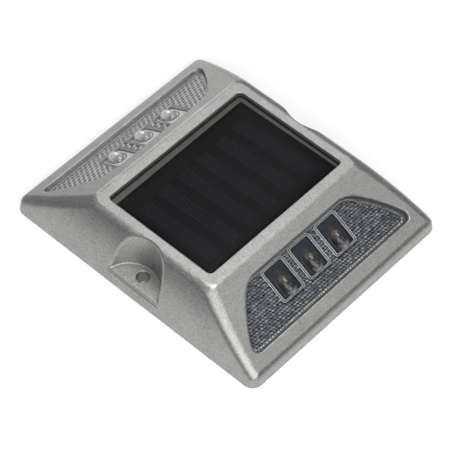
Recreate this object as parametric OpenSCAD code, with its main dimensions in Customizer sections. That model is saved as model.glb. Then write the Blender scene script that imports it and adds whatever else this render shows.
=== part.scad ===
// Raised pavement marker: a die-cast solar road stud with a reflective lens and three LEDs in
// each sloped end. X runs from lens to lens, Y runs across, and the underside is at z = 0.

/* [Body] */
// Length of the base from lens to lens
body_l = 125; // [122:1:130]
// Width of the base
body_w = 105; // [104:1:108]
// Height of the body
body_h = 23; // [23:0.5:24]
// Radius of the vertical corners of the base
corner_r = 4.5; // [3:0.5:6]
// Height of the lip at the foot of each sloped end
lip_h = 5; // [4.5:0.5:5.5]
// How far the lip leans in over its height
lip_lean = 0.4; // [0.3:0.1:1.6]
// Length of the flat top
top_l = 62.2; // [61:0.2:63]
// Width of the flat top, between the upper edges of the long sides
top_w = 84; // [83:0.2:85]
// Radius of the bulge of the long sides
side_r = 65; // [60:1:140]

/* [Solar window] */
// Length of the window along X
window_l = 52.6; // [50:0.2:54]
// Width of the window along Y
window_w = 72.9; // [70:0.1:74]
// Depth from the frame down to the clear cover
cover_drop = 1.1; // [0.8:0.1:1.4]
// Angle by which the black print is out of line with its window
print_skew = 0.6; // [0:0.1:1]
// Angle by which the cell strips are out of line with the window
cell_skew = 1.6; // [0:0.1:2]
// Number of cell strips
cell_count = 6; // [4:1:6]
// Number of finger lines on each strip
finger_count = 5; // [3:1:6]

/* [Lenses] */
// Distance down the slope from the top edge to the lens
lens_u0 = 5.9; // [5.5:0.1:6.5]
// Length of the lens down the slope
lens_len = 23.2; // [22:0.1:23.6]
// Radius of the curved lens ends
lens_end_r = 72; // [70:1:76]
// Half width of the lens at its lower edge, before rounding
lens_half_w = 45; // [44:0.5:45]
// Depth of the lens face below the slope
lens_drop = 1.2; // [1:0.1:1.4]
// Width of one LED window
led_window_w = 10.7; // [10:0.1:11]
// Length of one LED window down the slope
led_window_l = 14.2; // [13.5:0.1:14.5]
// Spacing of the LED windows
led_pitch = 14.7; // [14.2:0.1:15]
// Angle by which each LED points out of the slope
led_lift = 5; // [0:1:6]

/* [Fixing] */
// Distance between the two anchor holes
hole_spacing = 91; // [90:0.5:92]
// Diameter of the anchor holes
hole_d = 5.2; // [5:0.1:6.5]
// Radius of the screw pockets at their floor
pocket_r = 12.3; // [11:0.1:13]
// Distance from the centre line to the axis of a screw pocket
pocket_y = 53.3; // [53:0.1:54]
// Height of the pocket floor
pocket_floor = 6.3; // [5.5:0.1:7]

/* [Power button] */
// Travel of the button
button_travel = 1.2; // [0.8:0.1:1.3]
// Radius of the button
button_r = 3; // [2.5:0.1:3.2]

/* [Hidden] */
$fn = 64;
arc_steps = 8;
eps = 0.01;

// Slope of the ends
top_x = top_l / 2;
lip_x = body_l / 2 - lip_lean;
slope_a = atan2(body_h - lip_h, lip_x - top_x);

// Rounding of the outer edges
top_edge_r = 3;
side_edge_r = 4;
lip_edge_r = 1.5;

// Solar panel stack, from the frame down
cover_z = body_h - cover_drop;
cover_t = 1;
film_t = 0.3;
board_t = 1.6;
film_z = cover_z - cover_t - film_t;
substrate_z = film_z - board_t;
panel_gap = 0.6;
ledge_t = 2;
ledge_in = 4.5;
ceiling_z = substrate_z - ledge_t;
window_r = 1.8;
panel_r = 1.4;

// Black print of the panel: it leaves a margin on the -X and +Y edges
print_l = window_l - 3.4;
print_w = window_w - 2.4;
print_x = 1.2;
print_y = -0.8;
panel_l = window_l - 2 * panel_gap;
panel_w = window_w - 2 * panel_gap;
cell_pitch = 10.8;
cell_l = 38;
cell_w = 7.4;
cell_x = 2.2;
cell_y = -1.5;
finger_pitch = 1.2;
finger_w = 0.16;

// Lens stack, measured along the normal of the slope
lens_t = 1.6;
seal_t = 0.6;
seal_w = 1.5;
ledge_w = lens_drop + lens_t + seal_t;
reflector_w0 = lens_drop + lens_t + 0.1;
reflector_t = 2.5;
pocket_w1 = reflector_w0 + reflector_t + 0.1;
cavity_w = 6.6;
lens_gap = 0.15;
lens_corner_r = 3;
lens_arc_drop = 30.8;
window_u0 = 7.2;
rim_out = 0.4;
rim_w = 0.8;
rim_h = 0.25;

// LEDs
led_r = 2.5;
led_u = 16.5;
led_w = -3.7;
led_body = 5;
led_flange_t = 1;
led_lead_t = 0.5;
led_lead_y = 1.27;
led_lead_l = 1.2;
hood_r = 3.3;
hood_in = 2.8;
hood_back = led_body / 2 + 1.6;
led_board_w = -7.6;
led_board_t = 1;
led_board_span = 45;
tray_gap = 0.4;

// Tray that holds the LEDs: a base behind the prisms, with a pad up into each window
tray_w0 = 3.6;
tray_w1 = 6.5;
tray_t = 0.8;
led_opening_l = 18.2;
led_opening_w = 50;
tray_l = 14;
tray_span = 46;

// Screw pockets: how far the walls lean back, and the sill in front of each floor
pocket_draft = 0.5;
sill_l = 25.4;
sill_h = 1.4;
sill_out = 0.5;

// Cavity and base
cavity_y = 37.5;
plate_t = 2;
gasket_t = 0.8;
seat_z = plate_t + gasket_t;
plate_l = 108;
plate_w = 80;
plate_gap = 0.2;
plate_r = 4;
screw_x = 45;
screw_y = 33.5;
SCREWS = [for (x = [-screw_x, 0, screw_x], y = [-screw_y, screw_y]) [x, y]];
boss_r = 3.2;
screw_r = 1.45;
screw_bore = 1.5;
screw_top = 6;
head_r = 2.8;
head_h = 0.9;
head_sink = 1.1;

// Main board
board_l = 54;
board_w = 25;
board_y = -17.5;
board_z = 9;
pcb_t = 1.2;
board_inset = 2.6;
BOARD_HOLES = [
    for (x = [-1, 1], y = [-1, 1])
        [x * (board_l / 2 - board_inset), board_y + y * (board_w / 2 - board_inset)]
];
board_boss_r = 2.4;
board_pilot_r = 0.9;
board_hole_r = 1.1;
board_screw_r = 0.85;
board_screw_l = 5;
board_head_r = 1.9;
board_head_h = 1.2;

// Battery
cell_r = 5.25;
battery_l = 44;
battery_y = 15;
battery_z = 9.6;

// Power button, from the underside up
button_x = 29;
button_y = 1.5;
button_rest = 1;
button_gap = 0.06;
flange_r = 4;
flange_z = plate_t + 0.65;
flange_t = 0.8;
stem_r = 1.6;
spring_z = flange_z + flange_t;
spring_h = 2.8;
spring_r = 2.6;
spring_wire_r = 0.2;
spring_turns = 3;
contact_t = 0.3;
contact_z = spring_z + spring_h + button_travel + 0.5;
switch_w = 11;
switch_top = contact_z + contact_t + 1;

// Points of an arc of radius r that rounds the corner at b between a and c
function unit(v) = v / norm(v);
function round_corner(a, b, c, r) =
    let (
        p = unit(a - b),
        q = unit(c - b),
        half = acos(p * q) / 2,
        reach = r / tan(half),
        centre = b + unit(p + q) * r / sin(half),
        s = b + p * reach - centre,
        e = b + q * reach - centre,
        a0 = atan2(s[1], s[0]),
        turn = atan2(s[0] * e[1] - s[1] * e[0], s * e)
    )
    [for (i = [0:arc_steps]) centre + r * [cos(a0 + turn * i / arc_steps), sin(a0 + turn * i / arc_steps)]];

function mirror_x(points) = [for (i = [len(points) - 1:-1:0]) [-points[i][0], points[i][1]]];

// Half width of the body at height z: an arc from the base edge to the top edge
side_chord = [top_w / 2, body_h] - [body_w / 2, 0];
side_mid = [(top_w + body_w) / 4, body_h / 2];
side_in = [-side_chord[1], side_chord[0]] / norm(side_chord);
side_c = side_mid + side_in * sqrt(pow(side_r, 2) - pow(norm(side_chord) / 2, 2));
function side_y(z) = side_c[0] + sqrt(pow(side_r, 2) - pow(z - side_c[1], 2));

// Half outline of the ends, seen along Y
end_half = concat(
    [[body_l / 2, 0]],
    round_corner([body_l / 2, 0], [lip_x, lip_h], [top_x, body_h], lip_edge_r),
    round_corner([lip_x, lip_h], [top_x, body_h], [0, body_h], top_edge_r)
);

// Half outline of the long sides, seen along X
side_half = concat(
    [for (z = [0:2:body_h - 5]) [side_y(z), z]],
    round_corner([side_y(body_h - 5), body_h - 5], [top_w / 2, body_h], [0, body_h], side_edge_r)
);

module rounded_slab(l, w, r, h) {
    linear_extrude(h)
        rounded_plan(l, w, r);
}

module rounded_plan(l, w, r) {
    square([l - 2 * r, w], center = true);
    square([l, w - 2 * r], center = true);
    for (x = [-1, 1], y = [-1, 1])
        translate([x * (l / 2 - r), y * (w / 2 - r)])
            circle(r);
}

// Puts its children on the slope: u runs down it and z stands out of it
module on_slope() {
    translate([top_x, 0, body_h])
        rotate([0, slope_a, 0])
            children();
}

module rear() {
    mirror([1, 0, 0])
        children();
}

// Lens outline on the slope, shrunk by an inset: straight above and below, with curved ends
// whose arcs are centred below the lower edge
function lens_points(inset) =
    let (
        r = lens_end_r - inset,
        u0 = lens_u0 + inset,
        u1 = lens_u0 + lens_len - inset,
        cu = lens_u0 + lens_len + lens_arc_drop,
        cy = lens_half_w - sqrt(pow(lens_end_r, 2) - pow(lens_arc_drop, 2)),
        y_at = function (u) cy + sqrt(pow(r, 2) - pow(cu - u, 2)),
        side = [for (i = [0:arc_steps]) let (u = u0 + (u1 - u0) * i / arc_steps) [u, y_at(u)]],
        n = len(side) - 1,
        cr = max(lens_corner_r - inset, 0.8),
        upper = round_corner([u0, 0], side[0], side[1], cr * 1.6),
        lower = round_corner(side[n - 1], side[n], [u1, 0], cr),
        half = concat(upper, [for (i = [2:n - 2]) side[i]], lower)
    )
    concat(half, [for (i = [len(half) - 1:-1:0]) [half[i][0], -half[i][1]]]);

// Slab with the lens outline, from depth w1 to depth w0 below the slope
module lens_slab(inset, w0, w1) {
    translate([0, 0, -w1])
        linear_extrude(w1 - w0)
            polygon(lens_points(inset));
}

// Raised rims that frame the LED windows
module window_rims() {
    difference() {
        led_windows(rim_out, lens_drop - rim_h, lens_drop + eps);
        led_windows(rim_out - rim_w, lens_drop - 1, lens_drop + 1);
    }
}

module led_windows(grow, w0, w1) {
    for (i = [-1:1])
        translate([window_u0 - grow, i * led_pitch - led_window_w / 2 - grow, -w1])
            cube([led_window_l + 2 * grow, led_window_w + 2 * grow, w1 - w0]);
}

// Bullet of radius r along each LED's axis: a shank with a round outer end
module led_bullets(r, back) {
    for (i = [-1:1])
        translate([led_u, i * led_pitch, led_w])
            rotate([0, 90 - led_lift, 0]) {
                translate([0, 0, -back])
                    cylinder(r = r, h = back + led_body / 2);
                translate([0, 0, led_body / 2])
                    sphere(r);
            }
}

// ---- Die casting ----

module body_blank() {
    intersection() {
        rotate([90, 0, 0])
            linear_extrude(body_w, center = true)
                polygon(concat(end_half, mirror_x(end_half)));
        rotate([90, 0, 90])
            linear_extrude(body_l, center = true)
                polygon(concat(side_half, mirror_x(side_half)));
        rounded_slab(body_l, body_w, corner_r, body_h);
    }
}

module cavity() {
    // Room under the slopes, level ceiling and room inside the panel ledge
    floor_u = (body_h - cavity_w * cos(slope_a) - seat_z) / sin(slope_a);
    floor_x = top_x + floor_u * cos(slope_a) - cavity_w * sin(slope_a);
    ceiling_u = (body_h - cavity_w * cos(slope_a) - ceiling_z) / sin(slope_a);
    ceiling_x = top_x + ceiling_u * cos(slope_a) - cavity_w * sin(slope_a);
    half = [[floor_x, seat_z - eps], [floor_x, seat_z], [ceiling_x, ceiling_z]];
    rotate([90, 0, 0])
        linear_extrude(2 * cavity_y, center = true)
            polygon(concat(half, mirror_x(half)));
    translate([0, 0, ceiling_z - 1])
        rounded_slab(window_l - 2 * ledge_in, window_w - 2 * ledge_in, 2, ledge_t + 2);
}

module screw_pockets() {
    for (y = [-1, 1]) {
        translate([0, y * pocket_y, pocket_floor])
            cylinder(r1 = pocket_r, r2 = pocket_r + pocket_draft, h = body_h - pocket_floor + 1);
        translate([0, y * hole_spacing / 2, -1])
            cylinder(d = hole_d, h = pocket_floor + 2);
    }
}

// Sill that stands a little proud of the long side in front of each pocket floor
module pocket_sills() {
    half = side_y(pocket_floor) + sill_out;
    intersection() {
        translate([-sill_l / 2, -half, pocket_floor - sill_h])
            cube([sill_l, 2 * half, sill_h]);
        difference() {
            rounded_slab(body_l, body_w, corner_r, body_h);
            cube([body_l, 2 * cavity_y + 6, 2 * body_h], center = true);
        }
    }
}

module inner_bosses() {
    intersection() {
        body_blank();
        union() {
            for (p = SCREWS)
                translate([p[0], p[1], seat_z])
                    cylinder(r = boss_r, h = ceiling_z - seat_z + 1);
            for (p = BOARD_HOLES)
                translate([p[0], p[1], board_z + pcb_t])
                    cylinder(r = board_boss_r, h = ceiling_z - board_z - pcb_t + 0.5);
        }
    }
}

module lens_recess() {
    on_slope() {
        lens_slab(0, -2, ledge_w);
        lens_slab(seal_w, 0, pocket_w1);
        translate([lens_u0 + seal_w, -led_opening_w / 2, -cavity_w - 3])
            cube([led_opening_l, led_opening_w, 6]);
    }
}

module housing() {
    color("#a9aaa8")
        difference() {
            union() {
                difference() {
                    body_blank();
                    cavity();
                }
                inner_bosses();
                pocket_sills();
            }
            translate([0, 0, substrate_z])
                rounded_slab(window_l, window_w, window_r, body_h);
            lens_recess();
            rear()
                lens_recess();
            screw_pockets();
            translate([0, 0, -1])
                rounded_slab(plate_l + 2 * plate_gap, plate_w + 2 * plate_gap, plate_r, seat_z + 1);
            for (p = SCREWS)
                translate([p[0], p[1], 0])
                    cylinder(r = screw_bore, h = screw_top + 0.4);
            for (p = BOARD_HOLES)
                translate([p[0], p[1], board_z])
                    cylinder(r = board_pilot_r, h = board_screw_l + 1);
        }
}

// ---- Solar panel ----

module solar_cover() {
    color("#c8d0d4", 0.35)
        translate([0, 0, cover_z - cover_t])
            rounded_slab(panel_l, panel_w, panel_r, cover_t);
}

// Cell strips in the film, from height z0 of the film up
module cell_strips(z0, h) {
    translate([cell_x, cell_y, film_z + z0])
        rotate([0, 0, cell_skew])
            for (i = [0:cell_count - 1])
                translate([-cell_l / 2, (i - (cell_count - 1) / 2) * cell_pitch - cell_w / 2, 0])
                    cube([cell_l, cell_w, h]);
}

// Shallow lines that the finger wires leave along each strip
module finger_lines() {
    translate([cell_x, cell_y, film_z + film_t - 0.05])
        rotate([0, 0, cell_skew])
            for (i = [0:cell_count - 1], k = [0:finger_count - 1])
                translate([
                    1 - cell_l / 2,
                    (i - (cell_count - 1) / 2) * cell_pitch + (k - (finger_count - 1) / 2) * finger_pitch
                        - finger_w / 2,
                    0
                ])
                    cube([cell_l - 2, finger_w, 0.1]);
}

module solar_cells() {
    color("#23222a")
        difference() {
            cell_strips(film_t / 2, film_t / 2);
            finger_lines();
        }
}

module solar_backsheet() {
    color("#1b1b1e")
        difference() {
            intersection() {
                translate([print_x, print_y, film_z])
                    rotate([0, 0, print_skew])
                        rounded_slab(print_l, print_w, 0.6, film_t);
                translate([0, 0, film_z])
                    rounded_slab(panel_l - 0.1, panel_w - 0.1, panel_r, film_t);
            }
            cell_strips(film_t / 2, film_t);
        }
}

module solar_substrate() {
    color("#6a635a")
        translate([0, 0, substrate_z])
            rounded_slab(panel_l, panel_w, panel_r, board_t);
}

module panel_seal() {
    color("#141414")
        difference() {
            translate([0, 0, substrate_z])
                rounded_slab(window_l, window_w, window_r, cover_z - substrate_z - 0.1);
            translate([0, 0, substrate_z - 1])
                rounded_slab(panel_l, panel_w, panel_r, body_h);
        }
}

// ---- Lens end, built on the slope ----

module lens() {
    // A clear plate with three hoods, each hollow for its LED
    difference() {
        union() {
            lens_slab(lens_gap, lens_drop, lens_drop + lens_t);
            window_rims();
            intersection() {
                led_bullets(hood_r, hood_back);
                led_windows(-0.5, 0, lens_drop + lens_t);
            }
        }
        led_bullets(hood_in, hood_back - tray_gap);
    }
}

// Prism block behind the lens, with a groove field that stands for its corner cubes
module reflector() {
    prism = 2.6;
    rows = 8;
    groove = 0.7;
    difference() {
        lens_slab(seal_w + 0.2, reflector_w0, reflector_w0 + reflector_t);
        led_windows(0, 0, reflector_w0 + reflector_t + 1);
        led_bullets(led_r + 0.4, led_body / 2);
        for (i = [0:rows - 1])
            translate([lens_u0 + seal_w + 2 + i * prism, 0, -reflector_w0])
                rotate([90, 45, 0])
                    cube([groove, groove, 2 * body_w], center = true);
    }
}

module lens_seal() {
    difference() {
        lens_slab(lens_gap, lens_drop + lens_t, ledge_w);
        lens_slab(seal_w, 0, ledge_w + 1);
    }
}

// Three LEDs with their flanges and leads
module leds() {
    led_bullets(led_r, led_body / 2);
    for (i = [-1:1])
        translate([led_u, i * led_pitch, led_w])
            rotate([0, 90 - led_lift, 0]) {
                translate([0, 0, -led_body / 2 - led_flange_t])
                    cylinder(r = led_r + 0.2, h = led_flange_t);
                for (y = [-1, 1])
                    translate([
                        -led_lead_t / 2,
                        y * led_lead_y - led_lead_t / 2,
                        -led_body / 2 - led_flange_t - led_lead_l
                    ])
                        cube([led_lead_t, led_lead_t, led_lead_l]);
            }
    for (i = [-1:1], y = [-1, 1])
        translate([
            led_u - led_body / 2 - led_flange_t - led_lead_l - 0.2,
            i * led_pitch + y * led_lead_y - led_lead_t / 2,
            led_board_w + led_board_t + 2 * eps
        ])
            cube([led_lead_t, led_lead_t, led_w - led_board_w - led_board_t - 2 * eps]);
}

module led_tray() {
    leg_slot = [2.4, 4.4, tray_w1];
    leg_slot_u = led_u - led_body / 2 - led_flange_t - 2;
    difference() {
        union() {
            led_windows(-tray_gap, tray_w0, tray_w1);
            translate([window_u0 + 0.8, -tray_span / 2, -tray_w1])
                cube([tray_l, tray_span, tray_t]);
        }
        led_bullets(led_r + 0.2, led_body / 2 + led_flange_t + 0.3);
        for (i = [-1:1])
            translate([leg_slot_u, i * led_pitch - leg_slot[1] / 2, -tray_w1 - 1])
                cube(leg_slot);
    }
}

module led_board() {
    translate([window_u0 - tray_gap, -led_board_span / 2, led_board_w])
        cube([led_window_l + 0.6, led_board_span, led_board_t]);
}

module front_lens() {
    color("#c9d6dc", 0.4)
        on_slope()
            lens();
}

module rear_lens() {
    color("#c9d6dc", 0.4)
        rear()
            on_slope()
                lens();
}

module front_reflector() {
    color("#5f6f7c")
        on_slope()
            reflector();
}

module rear_reflector() {
    color("#a7abac")
        rear()
            on_slope()
                reflector();
}

module front_lens_seal() {
    color("#3c3c38")
        on_slope()
            lens_seal();
}

module rear_lens_seal() {
    color("#3c3c38")
        rear()
            on_slope()
                lens_seal();
}

module front_leds() {
    color("#8a8072")
        on_slope()
            leds();
}

module rear_leds() {
    color("#b4b0a8")
        rear()
            on_slope()
                leds();
}

module front_led_tray() {
    color("#1e2430")
        on_slope()
            led_tray();
}

module rear_led_tray() {
    color("#b0b2b2")
        rear()
            on_slope()
                led_tray();
}

module front_led_board() {
    color("#2c3240")
        on_slope()
            led_board();
}

module rear_led_board() {
    color("#9a9c9c")
        rear()
            on_slope()
                led_board();
}

// ---- Electronics ----

module main_board() {
    color("#1f5a34")
        difference() {
            translate([-board_l / 2, board_y - board_w / 2, board_z])
                cube([board_l, board_w, pcb_t]);
            for (p = BOARD_HOLES)
                translate([p[0], p[1], board_z - 1])
                    cylinder(r = board_hole_r, h = pcb_t + 2);
        }
}

module board_screws() {
    color("#b8b9ba")
        for (p = BOARD_HOLES)
            translate([p[0], p[1], 0]) {
                translate([0, 0, board_z - board_head_h])
                    cylinder(r = board_head_r, h = board_head_h);
                translate([0, 0, board_z - eps])
                    cylinder(r = board_screw_r, h = board_screw_l);
            }
}

module controller_chip() {
    chip = [5, 6, 1.6];
    chip_x = -8;
    pin = [0.8, 0.5, 0.9];
    pin_pitch = 1.3;
    color("#1c1c1e") {
        translate([chip_x, board_y - chip[1] / 2, board_z - chip[2]])
            cube(chip);
        for (x = [chip_x - pin[0], chip_x + chip[0]], k = [0:3])
            translate([x, board_y - 2.5 + k * pin_pitch, board_z - pin[2]])
                cube(pin);
    }
}

module charge_inductor() {
    core_r = 3;
    core_h = 3;
    color("#3a3a3a")
        translate([6, board_y + 4, board_z - core_h])
            difference() {
                cylinder(r = core_r, h = core_h);
                translate([0, 0, -1])
                    cylinder(r = core_r / 3, h = core_h / 2 + 1);
            }
}

module storage_capacitor() {
    can_h = 5;
    color("#2b3350")
        translate([14, board_y - 4, board_z - can_h])
            cylinder(r = can_h / 2, h = can_h);
}

module battery_cell() {
    color("#2f7d4f")
        translate([-battery_l / 2, battery_y, battery_z])
            rotate([0, 90, 0])
                cylinder(r = cell_r, h = battery_l);
}

module battery_caps() {
    flat_t = 0.3;
    nub_r = 2;
    nub_h = 1;
    color("#c2c4c4") {
        translate([-battery_l / 2 - flat_t, battery_y, battery_z])
            rotate([0, 90, 0])
                cylinder(r = cell_r - 1, h = flat_t);
        translate([battery_l / 2, battery_y, battery_z])
            rotate([0, 90, 0])
                cylinder(r = nub_r, h = nub_h);
    }
}

module battery_cradle() {
    wall = 1.2;
    strap_slot = 8;
    color("#2a2a2c")
        difference() {
            translate([-battery_l / 2, battery_y - cell_r - wall, plate_t])
                cube([battery_l, 2 * (cell_r + wall), battery_z - plate_t]);
            translate([-battery_l, battery_y, battery_z])
                rotate([0, 90, 0])
                    cylinder(r = cell_r + 0.1, h = 2 * battery_l);
            for (x = [-battery_l / 4, battery_l / 4])
                translate([x - strap_slot / 2, battery_y - body_w / 2, plate_t + 2.2])
                    cube([strap_slot, body_w, body_h]);
        }
}

// ---- Internal wires ----

wire_r = 0.55;
wire_sides = 8;

// Smooth curve through the points of a route, three steps between points
wire_steps = 3;
function spline(p, i, t) =
    let (
        n = len(p) - 1,
        a = p[max(i - 1, 0)],
        b = p[i],
        c = p[min(i + 1, n)],
        d = p[min(i + 2, n)]
    )
    ((2 * b) + (c - a) * t + (2 * a - 5 * b + 4 * c - d) * t * t + (3 * b - a - 3 * c + d) * t * t * t) / 2;
function route(p) = concat(
    [for (i = [0:len(p) - 2], k = [0:wire_steps - 1]) spline(p, i, k / wire_steps)],
    [p[len(p) - 1]]
);

module wire(points, ref = [0, 0, 1]) {
    tube(route(points), wire_r, ref);
}

// Round tube of radius r along a path that never runs along ref
module tube(path, r, ref = [0, 0, 1]) {
    n = len(path);
    rings = [
        for (i = [0:n - 1])
            let (
                t = unit(path[min(i + 1, n - 1)] - path[max(i - 1, 0)]),
                side = unit(cross(t, ref)),
                up = cross(side, t)
            )
            for (k = [0:wire_sides - 1])
                let (a = 360 * k / wire_sides)
                path[i] + r * (cos(a) * side + sin(a) * up)
    ];
    skin = [
        for (i = [0:n - 2], k = [0:wire_sides - 1])
            let (j = (k + 1) % wire_sides)
            [i * wire_sides + k, (i + 1) * wire_sides + k, (i + 1) * wire_sides + j, i * wire_sides + j]
    ];
    ends = [
        [for (k = [0:wire_sides - 1]) k],
        [for (k = [wire_sides - 1:-1:0]) (n - 1) * wire_sides + k]
    ];
    polyhedron(rings, concat(skin, ends), convexity = 4);
}

// Height of a wire that lies on the main board, and of one that stands on it
lying_z = board_z + pcb_t + wire_r + 0.05;
standing_z = board_z + pcb_t + 0.15;

module solar_leads() {
    for (x = [-4, 0])
        color(x < 0 ? "#a02020" : "#202020")
            wire([
                [x, -3, substrate_z - 0.15],
                [x, -3.4, substrate_z - 1.5],
                [x, -7, 14.5],
                [x, -11.6, 12],
                [x, -12, standing_z]
            ], ref = [1, 0, 0]);
}

// Pair of wires from an LED board to the main board, for the end on side s
module led_wires(s) {
    for (y = [-16, -18])
        color(y == -16 ? "#a02020" : "#202020")
            wire([
                [s * 37, y, 9.7],
                [s * 34, y - 1, 9.8],
                [s * 30.5, y - 2, 10.9],
                [s * 26.5, y - 2, lying_z],
                [s * 22, y - 2, lying_z]
            ]);
}

module front_led_leads() {
    led_wires(1);
}

module rear_led_leads() {
    led_wires(-1);
}

module battery_leads() {
    for (s = [-1, 1])
        color(s > 0 ? "#a02020" : "#202020")
            wire([
                [s * (battery_l / 2 + 1.65), battery_y, battery_z],
                [s * (battery_l / 2 + 2.5), battery_y - 5, battery_z + 1],
                [s * (battery_l / 2 + 1), battery_y - 14, 11.8],
                [s * 18, -8, lying_z + 0.3],
                [s * 16, -12, lying_z]
            ]);
}

// ---- Base ----

module base_plate() {
    // Grooves in the underside, where the adhesive takes hold
    groove_w = 1.2;
    groove_l = 54;
    groove_t = 0.5;
    groove_pitch = 9;
    groove_count = 5;
    color("#8f9190")
        difference() {
            rounded_slab(plate_l, plate_w, plate_r, plate_t);
            for (p = SCREWS)
                translate([p[0], p[1], 0]) {
                    translate([0, 0, -1])
                        cylinder(r = screw_bore + 0.1, h = plate_t + 2);
                    translate([0, 0, -eps])
                        cylinder(r = head_r + 0.2, h = head_sink);
                }
            translate([button_x, button_y, -1])
                cylinder(r = button_r + button_gap, h = plate_t + 2);
            for (i = [0:groove_count - 1])
                translate([i * groove_pitch - 2 * screw_x / 3, -groove_l / 2, -eps])
                    cube([groove_w, groove_l, groove_t]);
        }
}

module base_gasket() {
    border = 8;
    color("#202122")
        translate([0, 0, plate_t])
            difference() {
                rounded_slab(plate_l - 1, plate_w - 1, plate_r, gasket_t);
                translate([0, 0, -1])
                    rounded_slab(2 * screw_x - border, 2 * screw_y - border, 2, gasket_t + 2);
                for (p = SCREWS)
                    translate([p[0], p[1], -1])
                        cylinder(r = screw_bore + 0.1, h = gasket_t + 2);
            }
}

module base_screws() {
    slot_l = 3.6;
    slot_w = 0.6;
    slot_h = 1.1;
    color("#b8b9ba")
        for (p = SCREWS)
            translate([p[0], p[1], 0]) {
                difference() {
                    translate([0, 0, head_sink - 0.05 - head_h])
                        cylinder(r = head_r, h = head_h);
                    cube([slot_l, slot_w, slot_h], center = true);
                    cube([slot_w, slot_l, slot_h], center = true);
                }
                translate([0, 0, head_sink - 0.1])
                    cylinder(r = screw_r, h = screw_top - head_sink + 0.1);
            }
}

// ---- Power button ----

module at_button() {
    translate([button_x, button_y, 0])
        children();
}

module switch_body() {
    color("#2a2a2c")
        at_button()
            difference() {
                translate([-switch_w / 2, -switch_w / 2, plate_t])
                    cube([switch_w, switch_w, switch_top - plate_t]);
                translate([0, 0, plate_t - 1])
                    cylinder(r = flange_r + 0.2, h = spring_z + spring_h - plate_t + 1);
                cylinder(r = stem_r + button_gap, h = contact_z + contact_t);
            }
}

// Helical spring round the stem, from the flange up to the roof of the switch
module switch_spring() {
    steps = 16 * spring_turns;
    rise = spring_h - 2 * spring_wire_r - 0.1;
    path = [
        for (i = [0:steps])
            let (a = 360 * i * spring_turns / steps)
            [spring_r * cos(a), spring_r * sin(a), spring_z + spring_wire_r + 0.05 + rise * i / steps]
    ];
    color("#b9bbbd")
        at_button()
            tube(path, spring_wire_r);
}

module switch_contact() {
    color("#c8a860")
        at_button()
            translate([0, 0, contact_z])
                cylinder(r = stem_r, h = contact_t);
}

module switch_seal() {
    seal_tube_r = 0.25;
    color("#1a1a1a")
        at_button()
            translate([0, 0, plate_t + seal_tube_r])
                rotate_extrude()
                    translate([flange_r - seal_tube_r, 0])
                        circle(seal_tube_r);
}

module switch_button() {
    color("#b3261e")
        at_button() {
            translate([0, 0, button_rest])
                cylinder(r = button_r, h = flange_z - button_rest);
            translate([0, 0, flange_z])
                cylinder(r = flange_r, h = flange_t);
            translate([0, 0, spring_z])
                cylinder(r = stem_r, h = contact_z - spring_z - button_travel - 0.05);
        }
}

housing();
solar_cover();
solar_cells();
solar_backsheet();
solar_substrate();
panel_seal();
front_lens();
rear_lens();
front_reflector();
rear_reflector();
front_lens_seal();
rear_lens_seal();
front_leds();
rear_leds();
front_led_tray();
rear_led_tray();
front_led_board();
rear_led_board();
main_board();
controller_chip();
charge_inductor();
storage_capacitor();
board_screws();
battery_cell();
battery_caps();
battery_cradle();
solar_leads();
front_led_leads();
rear_led_leads();
battery_leads();
base_plate();
base_gasket();
base_screws();
switch_body();
switch_spring();
switch_contact();
switch_seal();
switch_button();
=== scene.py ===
import math

import bmesh
import bpy
import numpy as np
from mathutils import Matrix, Vector


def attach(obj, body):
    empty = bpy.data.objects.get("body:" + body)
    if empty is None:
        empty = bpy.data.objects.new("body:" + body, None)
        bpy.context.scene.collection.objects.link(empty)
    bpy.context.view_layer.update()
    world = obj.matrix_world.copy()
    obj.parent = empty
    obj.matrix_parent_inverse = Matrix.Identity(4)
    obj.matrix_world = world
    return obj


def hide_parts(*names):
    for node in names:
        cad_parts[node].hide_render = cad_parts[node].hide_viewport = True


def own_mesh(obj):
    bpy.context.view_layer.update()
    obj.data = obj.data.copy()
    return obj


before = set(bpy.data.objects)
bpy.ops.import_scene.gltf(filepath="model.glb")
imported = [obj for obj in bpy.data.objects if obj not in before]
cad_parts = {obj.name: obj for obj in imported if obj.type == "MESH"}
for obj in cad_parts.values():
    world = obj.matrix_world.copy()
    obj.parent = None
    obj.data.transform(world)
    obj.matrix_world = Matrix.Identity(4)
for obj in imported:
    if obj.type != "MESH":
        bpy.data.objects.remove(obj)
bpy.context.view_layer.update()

# Looks of the solar road marker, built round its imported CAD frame. The helpers take millimetres.
MM = 0.001

# ---------------------------------------------------------------- figures of the body, in mm
# length, width and height
BODY = (125.0, 105.0, 23.0)
# each sloped end runs from the edge of the top down to a low lip
TOP_X, LIP_X, LIP_H = 31.1, 62.1, 5.0
SLOPE = math.atan2(BODY[2] - LIP_H, LIP_X - TOP_X)
LIP_LEAN = math.atan2(BODY[0] / 2 - LIP_X, LIP_H)
SA, CA = math.sin(SLOPE), math.cos(SLOPE)
# each side is one arc from the edge of the top down to the foot
TOP_Y, SIDE_R = 42.0, 65.0
# panel window: half length, half width and floor; plan of the panel's sheets in the CAD frame
WINDOW_X, WINDOW_Y, WINDOW_Z = 26.3, 36.45, 19
SHEET_X, SHEET_Y = 51.4, 71.7
# room inside: half width, ceiling, floor, and the wall left under the slope
ROOM_Y, ROOM_TOP, ROOM_FLOOR, ROOM_WALL = 37.5, 17, 2.5, 6.6
# screw pocket: centre, radius and floor; anchor hole in it: centre and radius
POCKET_Y, POCKET_R, POCKET_Z = 53.3, 12.3, 6.3
ANCHOR_Y, ANCHOR_R = 45.5, 2.6
# lens outline: its ends on the slope, and the centre and radius of its side arcs
LENS_TOP, LENS_FOOT = 5.9, 29.1
ARC_U, ARC_Y, ARC_R = 59.9, 20.08, 72
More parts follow.
